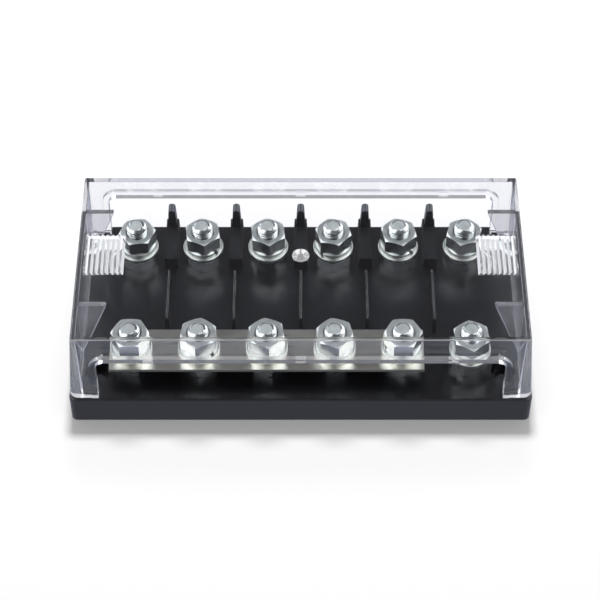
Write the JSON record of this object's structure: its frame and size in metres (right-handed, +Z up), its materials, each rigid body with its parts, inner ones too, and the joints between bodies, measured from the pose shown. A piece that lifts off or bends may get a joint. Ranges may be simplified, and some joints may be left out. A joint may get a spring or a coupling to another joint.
{
  "type": "multi-way fuse holder",
  "caption": "Holder for bolt-down fuses: black moulded base with two rows of threaded studs, a bus bar along one row and a clear lift-off cover with cable openings.",
  "frame": {"origin": "middle of the base's underside, on the surface that it is screwed to", "axes": "+X along the stud rows, +Y towards the edge with the cable dividers, +Z up, away from the mounting surface"},
  "size_m": [0.173, 0.086, 0.0465],
  "materials": {
    "black_moulding": "satin black moulding with a faint blue cast",
    "clear_cover": "clear polished plastic",
    "tinned_bar": "tinned flat bar, softly reflective",
    "studs": "bright zinc-plated thread",
    "nuts": "bright zinc plate",
    "washers": "bright zinc plate"
  },
  "bodies": {
    "base_unit": {"base": "black_moulding", "bus_bar": "tinned_bar", "stud_back_1": "studs", "stud_back_2": "studs", "stud_back_3": "studs", "stud_back_4": "studs", "stud_back_5": "studs", "stud_back_6": "studs", "stud_front_1": "studs", "stud_front_2": "studs", "stud_front_3": "studs", "stud_front_4": "studs", "stud_front_5": "studs", "stud_front_6": "studs", "lower_nut_back_1": "nuts", "lower_nut_back_2": "nuts", "lower_nut_back_3": "nuts", "lower_nut_back_4": "nuts", "lower_nut_back_5": "nuts", "lower_nut_back_6": "nuts", "lower_nut_front_1": "nuts", "lower_nut_front_2": "nuts", "lower_nut_front_3": "nuts", "lower_nut_front_4": "nuts", "lower_nut_front_5": "nuts", "lower_nut_front_6": "nuts", "top_nut_back_1": "nuts", "top_nut_back_2": "nuts", "top_nut_back_3": "nuts", "top_nut_back_4": "nuts", "top_nut_back_5": "nuts", "top_nut_back_6": "nuts", "top_nut_front_1": "nuts", "top_nut_front_2": "nuts", "top_nut_front_3": "nuts", "top_nut_front_4": "nuts", "top_nut_front_5": "nuts", "top_nut_front_6": "nuts", "flat_washers_back": "washers", "flat_washers_front": "washers", "spring_washers_back": "washers", "spring_washers_front": "washers"},
    "cover": {"cover": "clear_cover"}
  },
  "joints": [
    {"name": "cover_lift", "type": "slide", "parent": "base_unit", "child": "cover", "axis": [0, 0, 1], "range_m": [0, 0.05]}
  ]
}
